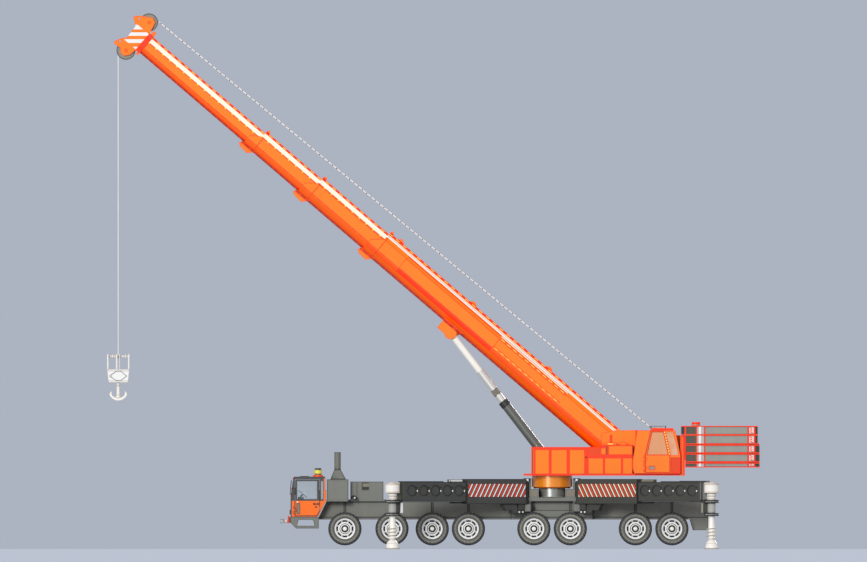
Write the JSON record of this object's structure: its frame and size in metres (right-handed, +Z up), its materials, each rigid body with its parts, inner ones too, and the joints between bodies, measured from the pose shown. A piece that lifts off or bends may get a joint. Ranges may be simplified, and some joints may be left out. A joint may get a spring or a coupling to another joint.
{
  "type": "mobile crane",
  "caption": "All-terrain mobile crane on swing-out outriggers, with a slewing superstructure, telescopic boom, counterweight and hook block.",
  "frame": {"origin": "on the floor under the middle of the whole crane's plan, with the slewing axis 5.341 m behind it", "axes": "+X forwards towards the driver's cab and the boom head, +Y to the left, +Z up"},
  "size_m": [29.3842, 10.4948, 24.1025],
  "materials": {
    "orange_paint": "gloss orange paint",
    "grey_paint": "satin olive grey paint",
    "dark_paint": "satin dark grey paint",
    "white_paint": "off-white paint",
    "slab_paint": "grey paint on the slabs, orange on their rims",
    "tyre_rubber": "black rubber on a silver rim",
    "cast_steel": "dark cast steel",
    "bright_steel": "machined steel",
    "cab_glass": "clear tinted glass",
    "rope_steel": "galvanised wire rope"
  },
  "bodies": {
    "carrier": {"chassis_frame": "grey_paint", "carrier_deck": "grey_paint", "engine": "cast_steel", "exhaust_stack": "grey_paint", "driver_cab": "orange_paint", "driver_cab_glass": "cab_glass", "front_bumper": "grey_paint", "axles": "dark_paint", "slewing_ring": "bright_steel"},
    "wheel_left_1": {"wheel_left_1": "tyre_rubber"},
    "knuckle_left_1": {"knuckle_left_1": "cast_steel"},
    "wheel_right_1": {"wheel_right_1": "tyre_rubber"},
    "knuckle_right_1": {"knuckle_right_1": "cast_steel"},
    "wheel_left_2": {"wheel_left_2": "tyre_rubber"},
    "knuckle_left_2": {"knuckle_left_2": "cast_steel"},
    "wheel_right_2": {"wheel_right_2": "tyre_rubber"},
    "knuckle_right_2": {"knuckle_right_2": "cast_steel"},
    "wheel_left_3": {"wheel_left_3": "tyre_rubber"},
    "knuckle_left_3": {"knuckle_left_3": "cast_steel"},
    "wheel_right_3": {"wheel_right_3": "tyre_rubber"},
    "knuckle_right_3": {"knuckle_right_3": "cast_steel"},
    "wheel_left_4": {"wheel_left_4": "tyre_rubber"},
    "knuckle_left_4": {"knuckle_left_4": "cast_steel"},
    "wheel_right_4": {"wheel_right_4": "tyre_rubber"},
    "knuckle_right_4": {"knuckle_right_4": "cast_steel"},
    "wheel_left_5": {"wheel_left_5": "tyre_rubber"},
    "wheel_right_5": {"wheel_right_5": "tyre_rubber"},
    "wheel_left_6": {"wheel_left_6": "tyre_rubber"},
    "wheel_right_6": {"wheel_right_6": "tyre_rubber"},
    "wheel_left_7": {"wheel_left_7": "tyre_rubber"},
    "wheel_right_7": {"wheel_right_7": "tyre_rubber"},
    "wheel_left_8": {"wheel_left_8": "tyre_rubber"},
    "wheel_right_8": {"wheel_right_8": "tyre_rubber"},
    "outrigger_arm_front_left": {"outrigger_arm_front_left": "dark_paint"},
    "outrigger_jack_front_left": {"outrigger_jack_front_left": "white_paint"},
    "outrigger_arm_front_right": {"outrigger_arm_front_right": "dark_paint"},
    "outrigger_jack_front_right": {"outrigger_jack_front_right": "white_paint"},
    "outrigger_arm_rear_left": {"outrigger_arm_rear_left": "dark_paint"},
    "outrigger_jack_rear_left": {"outrigger_jack_rear_left": "white_paint"},
    "outrigger_arm_rear_right": {"outrigger_arm_rear_right": "dark_paint"},
    "outrigger_jack_rear_right": {"outrigger_jack_rear_right": "white_paint"},
    "driver_door_left": {"driver_door_left": "orange_paint"},
    "driver_door_right": {"driver_door_right": "orange_paint"},
    "superstructure": {"superstructure_frame": "orange_paint", "operator_cab": "orange_paint", "operator_cab_glass": "cab_glass", "counterweight": "slab_paint"},
    "operator_door": {"operator_door": "orange_paint"},
    "winch_drum": {"winch_drum": "bright_steel"},
    "boom_base": {"boom_base": "orange_paint"},
    "luff_barrels": {"luff_barrels": "grey_paint"},
    "luff_rods": {"luff_rods": "white_paint"},
    "boom_section_2": {"boom_section_2": "orange_paint"},
    "boom_section_3": {"boom_section_3": "orange_paint"},
    "boom_section_4": {"boom_section_4": "orange_paint"},
    "head_sheaves_upper": {"head_sheaves_upper": "bright_steel"},
    "head_sheaves_lower": {"head_sheaves_lower": "bright_steel"},
    "rope_falls": {"rope_falls": "rope_steel"},
    "hook_block": {"hook_block": "white_paint"},
    "hook": {"hook": "white_paint"}
  },
  "joints": [
    {"name": "steering", "type": "hinge", "parent": "carrier", "child": "knuckle_left_1", "pos_m": [3.97887, 1.195, 0.91], "axis": [0, 0, 1], "range_deg": [-25, 25]},
    {"name": "wheel_left_1_spin", "type": "hinge", "parent": "knuckle_left_1", "child": "wheel_left_1", "pos_m": [3.97887, 1.255, 0.91], "axis": [0, 1, 0], "continuous": true},
    {"name": "steer_right_1", "type": "hinge", "parent": "carrier", "child": "knuckle_right_1", "pos_m": [3.97887, -1.195, 0.91], "axis": [0, 0, 1], "range_deg": [-25.01, 25.01]},
    {"name": "wheel_right_1_spin", "type": "hinge", "parent": "knuckle_right_1", "child": "wheel_right_1", "pos_m": [3.97887, -1.255, 0.91], "axis": [0, 1, 0], "continuous": true},
    {"name": "steer_left_2", "type": "hinge", "parent": "carrier", "child": "knuckle_left_2", "pos_m": [1.85887, 1.195, 0.91], "axis": [0, 0, 1], "range_deg": [-20.01, 20.01]},
    {"name": "wheel_left_2_spin", "type": "hinge", "parent": "knuckle_left_2", "child": "wheel_left_2", "pos_m": [1.85887, 1.255, 0.91], "axis": [0, 1, 0], "continuous": true},
    {"name": "steer_right_2", "type": "hinge", "parent": "carrier", "child": "knuckle_right_2", "pos_m": [1.85887, -1.195, 0.91], "axis": [0, 0, 1], "range_deg": [-20.01, 20.01]},
    {"name": "wheel_right_2_spin", "type": "hinge", "parent": "knuckle_right_2", "child": "wheel_right_2", "pos_m": [1.85887, -1.255, 0.91], "axis": [0, 1, 0], "continuous": true},
    {"name": "steer_left_3", "type": "hinge", "parent": "carrier", "child": "knuckle_left_3", "pos_m": [0.04887, 1.195, 0.91], "axis": [0, 0, 1], "range_deg": [-15.51, 15.51]},
    {"name": "wheel_left_3_spin", "type": "hinge", "parent": "knuckle_left_3", "child": "wheel_left_3", "pos_m": [0.04887, 1.255, 0.91], "axis": [0, 1, 0], "continuous": true},
    {"name": "steer_right_3", "type": "hinge", "parent": "carrier", "child": "knuckle_right_3", "pos_m": [0.04887, -1.195, 0.91], "axis": [0, 0, 1], "range_deg": [-15.51, 15.51]},
    {"name": "wheel_right_3_spin", "type": "hinge", "parent": "knuckle_right_3", "child": "wheel_right_3", "pos_m": [0.04887, -1.255, 0.91], "axis": [0, 1, 0], "continuous": true},
    {"name": "steer_left_4", "type": "hinge", "parent": "carrier", "child": "knuckle_left_4", "pos_m": [-1.57913, 1.195, 0.91], "axis": [0, 0, 1], "range_deg": [-11.26, 11.26]},
    {"name": "wheel_left_4_spin", "type": "hinge", "parent": "knuckle_left_4", "child": "wheel_left_4", "pos_m": [-1.57913, 1.255, 0.91], "axis": [0, 1, 0], "continuous": true},
    {"name": "steer_right_4", "type": "hinge", "parent": "carrier", "child": "knuckle_right_4", "pos_m": [-1.57913, -1.195, 0.91], "axis": [0, 0, 1], "range_deg": [-11.26, 11.26]},
    {"name": "wheel_right_4_spin", "type": "hinge", "parent": "knuckle_right_4", "child": "wheel_right_4", "pos_m": [-1.57913, -1.255, 0.91], "axis": [0, 1, 0], "continuous": true},
    {"name": "wheel_left_5_spin", "type": "hinge", "parent": "carrier", "child": "wheel_left_5", "pos_m": [-4.52613, 1.255, 0.91], "axis": [0, 1, 0], "continuous": true},
    {"name": "wheel_right_5_spin", "type": "hinge", "parent": "carrier", "child": "wheel_right_5", "pos_m": [-4.52613, -1.255, 0.91], "axis": [0, 1, 0], "continuous": true},
    {"name": "wheel_left_6_spin", "type": "hinge", "parent": "carrier", "child": "wheel_left_6", "pos_m": [-6.16513, 1.255, 0.91], "axis": [0, 1, 0], "continuous": true},
    {"name": "wheel_right_6_spin", "type": "hinge", "parent": "carrier", "child": "wheel_right_6", "pos_m": [-6.16513, -1.255, 0.91], "axis": [0, 1, 0], "continuous": true},
    {"name": "wheel_left_7_spin", "type": "hinge", "parent": "carrier", "child": "wheel_left_7", "pos_m": [-9.09413, 1.255, 0.91], "axis": [0, 1, 0], "continuous": true},
    {"name": "wheel_right_7_spin", "type": "hinge", "parent": "carrier", "child": "wheel_right_7", "pos_m": [-9.09413, -1.255, 0.91], "axis": [0, 1, 0], "continuous": true},
    {"name": "wheel_left_8_spin", "type": "hinge", "parent": "carrier", "child": "wheel_left_8", "pos_m": [-10.73713, 1.255, 0.91], "axis": [0, 1, 0], "continuous": true},
    {"name": "wheel_right_8_spin", "type": "hinge", "parent": "carrier", "child": "wheel_right_8", "pos_m": [-10.73713, -1.255, 0.91], "axis": [0, 1, 0], "continuous": true},
    {"name": "outrigger_arm_front_left_swing", "type": "hinge", "parent": "carrier", "child": "outrigger_arm_front_left", "pos_m": [-4.16113, 1.15, 2.59], "axis": [0, 0, 1], "range_deg": [-32.06, 0]},
    {"name": "outrigger_jack_front_left_slide", "type": "slide", "parent": "outrigger_arm_front_left", "child": "outrigger_jack_front_left", "axis": [0, 0, -1], "range_m": [-0.48, 0]},
    {"name": "outrigger_arm_front_right_swing", "type": "hinge", "parent": "carrier", "child": "outrigger_arm_front_right", "pos_m": [-4.16113, -1.15, 2.59], "axis": [0, 0, -1], "range_deg": [-32.06, 0]},
    {"name": "outrigger_jack_front_right_slide", "type": "slide", "parent": "outrigger_arm_front_right", "child": "outrigger_jack_front_right", "axis": [0, 0, -1], "range_m": [-0.48, 0]},
    {"name": "outrigger_arm_rear_left_swing", "type": "hinge", "parent": "carrier", "child": "outrigger_arm_rear_left", "pos_m": [-6.52113, 1.15, 2.59], "axis": [0, 0, -1], "range_deg": [-32.06, 0]},
    {"name": "outrigger_jack_rear_left_slide", "type": "slide", "parent": "outrigger_arm_rear_left", "child": "outrigger_jack_rear_left", "axis": [0, 0, -1], "range_m": [-0.48, 0]},
    {"name": "outrigger_arm_rear_right_swing", "type": "hinge", "parent": "carrier", "child": "outrigger_arm_rear_right", "pos_m": [-6.52113, -1.15, 2.59], "axis": [0, 0, 1], "range_deg": [-32.06, 0]},
    {"name": "outrigger_jack_rear_right_slide", "type": "slide", "parent": "outrigger_arm_rear_right", "child": "outrigger_jack_rear_right", "axis": [0, 0, -1], "range_m": [-0.48, 0]},
    {"name": "driver_door_left_hinge", "type": "hinge", "parent": "carrier", "child": "driver_door_left", "pos_m": [6.22487, 1.372, 2.2], "axis": [0, 0, -1], "range_deg": [0, 80]},
    {"name": "driver_door_right_hinge", "type": "hinge", "parent": "carrier", "child": "driver_door_right", "pos_m": [6.22487, -1.372, 2.2], "axis": [0, 0, 1], "range_deg": [0, 80]},
    {"name": "slew", "type": "hinge", "parent": "carrier", "child": "superstructure", "pos_m": [-5.34113, 0, 2.745], "axis": [0, 0, 1], "continuous": true},
    {"name": "operator_door_hinge", "type": "hinge", "parent": "superstructure", "child": "operator_door", "pos_m": [-9.53513, 1.522, 4], "axis": [0, 0, -1], "range_deg": [0, 80]},
    {"name": "winch_spin", "type": "hinge", "parent": "superstructure", "child": "winch_drum", "pos_m": [-10.09113, 0, 5.06], "axis": [0, 1, 0], "continuous": true},
    {"name": "luff", "type": "hinge", "parent": "superstructure", "child": "boom_base", "pos_m": [-8.31113, 0, 4.491], "axis": [0, -1, 0], "range_deg": [-40.6, 41.4]},
    {"name": "luff_barrel_pivot", "type": "hinge", "parent": "superstructure", "child": "luff_barrels", "pos_m": [-5.23313, 0, 3.915], "axis": [0, -1, 0], "range_deg": [-48.82, 49.78]},
    {"name": "luff_rod_slide", "type": "slide", "parent": "luff_barrels", "child": "luff_rods", "axis": [0.6092, 0, 0.793], "range_m": [-1.7026, 1.7362]},
    {"name": "telescope_2", "type": "slide", "parent": "boom_base", "child": "boom_section_2", "axis": [0.7593, 0, 0.6508], "range_m": [-3, 6.8]},
    {"name": "telescope_3", "type": "slide", "parent": "boom_section_2", "child": "boom_section_3", "axis": [0.7593, 0, 0.6508], "range_m": [-2.3, 7.4]},
    {"name": "telescope_4", "type": "slide", "parent": "boom_section_3", "child": "boom_section_4", "axis": [0.7593, 0, 0.6508], "range_m": [-5.8, 4.1]},
    {"name": "head_sheaves_upper_spin", "type": "hinge", "parent": "boom_section_4", "child": "head_sheaves_upper", "pos_m": [12.79447, 0, 23.69755], "axis": [0, 1, 0], "continuous": true},
    {"name": "head_sheaves_lower_spin", "type": "hinge", "parent": "boom_section_4", "child": "head_sheaves_lower", "pos_m": [13.82963, 0, 22.44063], "axis": [0, 1, 0], "continuous": true},
    {"name": "falls_swing", "type": "hinge", "parent": "boom_section_4", "child": "rope_falls", "pos_m": [13.82963, 0, 22.44063], "axis": [0, -1, 0], "range_deg": [-41.45, 40.65]},
    {"name": "hoist", "type": "slide", "parent": "rope_falls", "child": "hook_block", "axis": [0, 0, -1], "range_m": [-12.4, 6], "deforming": ["rope_falls"]},
    {"name": "hook_swivel", "type": "hinge", "parent": "hook_block", "child": "hook", "pos_m": [14.17963, 0, 7.8], "axis": [0, 0, 1], "continuous": true}
  ],
  "couplings": [
    {"joint": "steer_right_1", "follows": "steering", "ratio": 1},
    {"joint": "steer_left_2", "follows": "steering", "ratio": 0.8},
    {"joint": "steer_right_2", "follows": "steering", "ratio": 0.8},
    {"joint": "steer_left_3", "follows": "steering", "ratio": 0.62},
    {"joint": "steer_right_3", "follows": "steering", "ratio": 0.62},
    {"joint": "steer_left_4", "follows": "steering", "ratio": 0.45},
    {"joint": "steer_right_4", "follows": "steering", "ratio": 0.45},
    {"joint": "luff_barrel_pivot", "follows": "luff", "ratio": 1.2},
    {"joint": "luff_rod_slide", "follows": "luff", "m_per_rad": 2.4},
    {"joint": "falls_swing", "follows": "luff", "ratio": -1}
  ]
}
